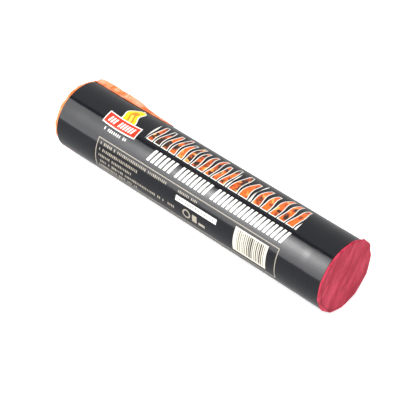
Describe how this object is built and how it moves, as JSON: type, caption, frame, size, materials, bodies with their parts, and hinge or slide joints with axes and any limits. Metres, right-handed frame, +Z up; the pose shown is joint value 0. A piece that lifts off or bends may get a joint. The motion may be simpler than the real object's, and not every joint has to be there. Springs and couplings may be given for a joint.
{
  "type": "hand-held smoke torch",
  "caption": "Hand-held smoke torch: a paper-wrapped card tube with paper-capped ends, and a fuse folded along its side under a peel-up paper strip.",
  "frame": {"origin": "on the surface the torch lies on, under the middle of its length and of its width", "axes": "+X along the tube towards the handle end with the crimson cap, +Z up with the tube lying on its side; the fuse strip lies on the +Y side, 37.5 degrees above the horizontal"},
  "size_m": [0.2142, 0.045, 0.045],
  "materials": {
    "black_wrap": "gloss black printed paper, varnished",
    "crimson_paper": "crimson tissue paper, matt with a faint sheen, pleated over the rim",
    "orange_paper": "orange paper, matt, creased",
    "tube_card": "grey-brown spiral-wound board, matt",
    "kraft_roll": "brown kraft paper, rolled",
    "pressed_clay": "unfired pressed clay, dusty",
    "pressed_cake": "pressed dyed powder, matt",
    "starter_layer": "dark grey pressed grain, matt",
    "match_strand": "black coated thread",
    "fuse_braid": "green lacquered braid",
    "soft_gland": "pale soft sealing compound"
  },
  "bodies": {
    "torch": {"label_wrap": "black_wrap", "base_cap": "crimson_paper", "end_cap": "orange_paper", "cardboard_tube": "tube_card", "base_disc": "tube_card", "vent_disc": "tube_card", "vent_ring": "tube_card", "handle_core": "kraft_roll", "charge_liner": "kraft_roll", "base_plug": "pressed_clay", "bulkhead_plug": "pressed_clay", "smoke_charge": "pressed_cake", "first_fire": "starter_layer", "core_match": "match_strand", "fuse_root": "fuse_braid", "fuse_gland": "soft_gland"},
    "cover": {"fuse_cover": "orange_paper"},
    "tail": {"fuse_tail": "fuse_braid"}
  },
  "joints": [
    {"name": "cover_peel", "type": "hinge", "parent": "torch", "child": "cover", "pos_m": [-0.1071, 0.02003, 0.03787], "axis": [0, -0.6088, 0.7934], "range_deg": [0, 150]},
    {"name": "fuse_lift", "type": "hinge", "parent": "torch", "child": "tail", "pos_m": [-0.1054, 0.01892, 0.03702], "axis": [0, -0.6088, 0.7934], "range_deg": [0, 90]}
  ],
  "couplings": [
    {"joint": "fuse_lift", "follows": "cover_peel", "ratio": 0.6}
  ]
}
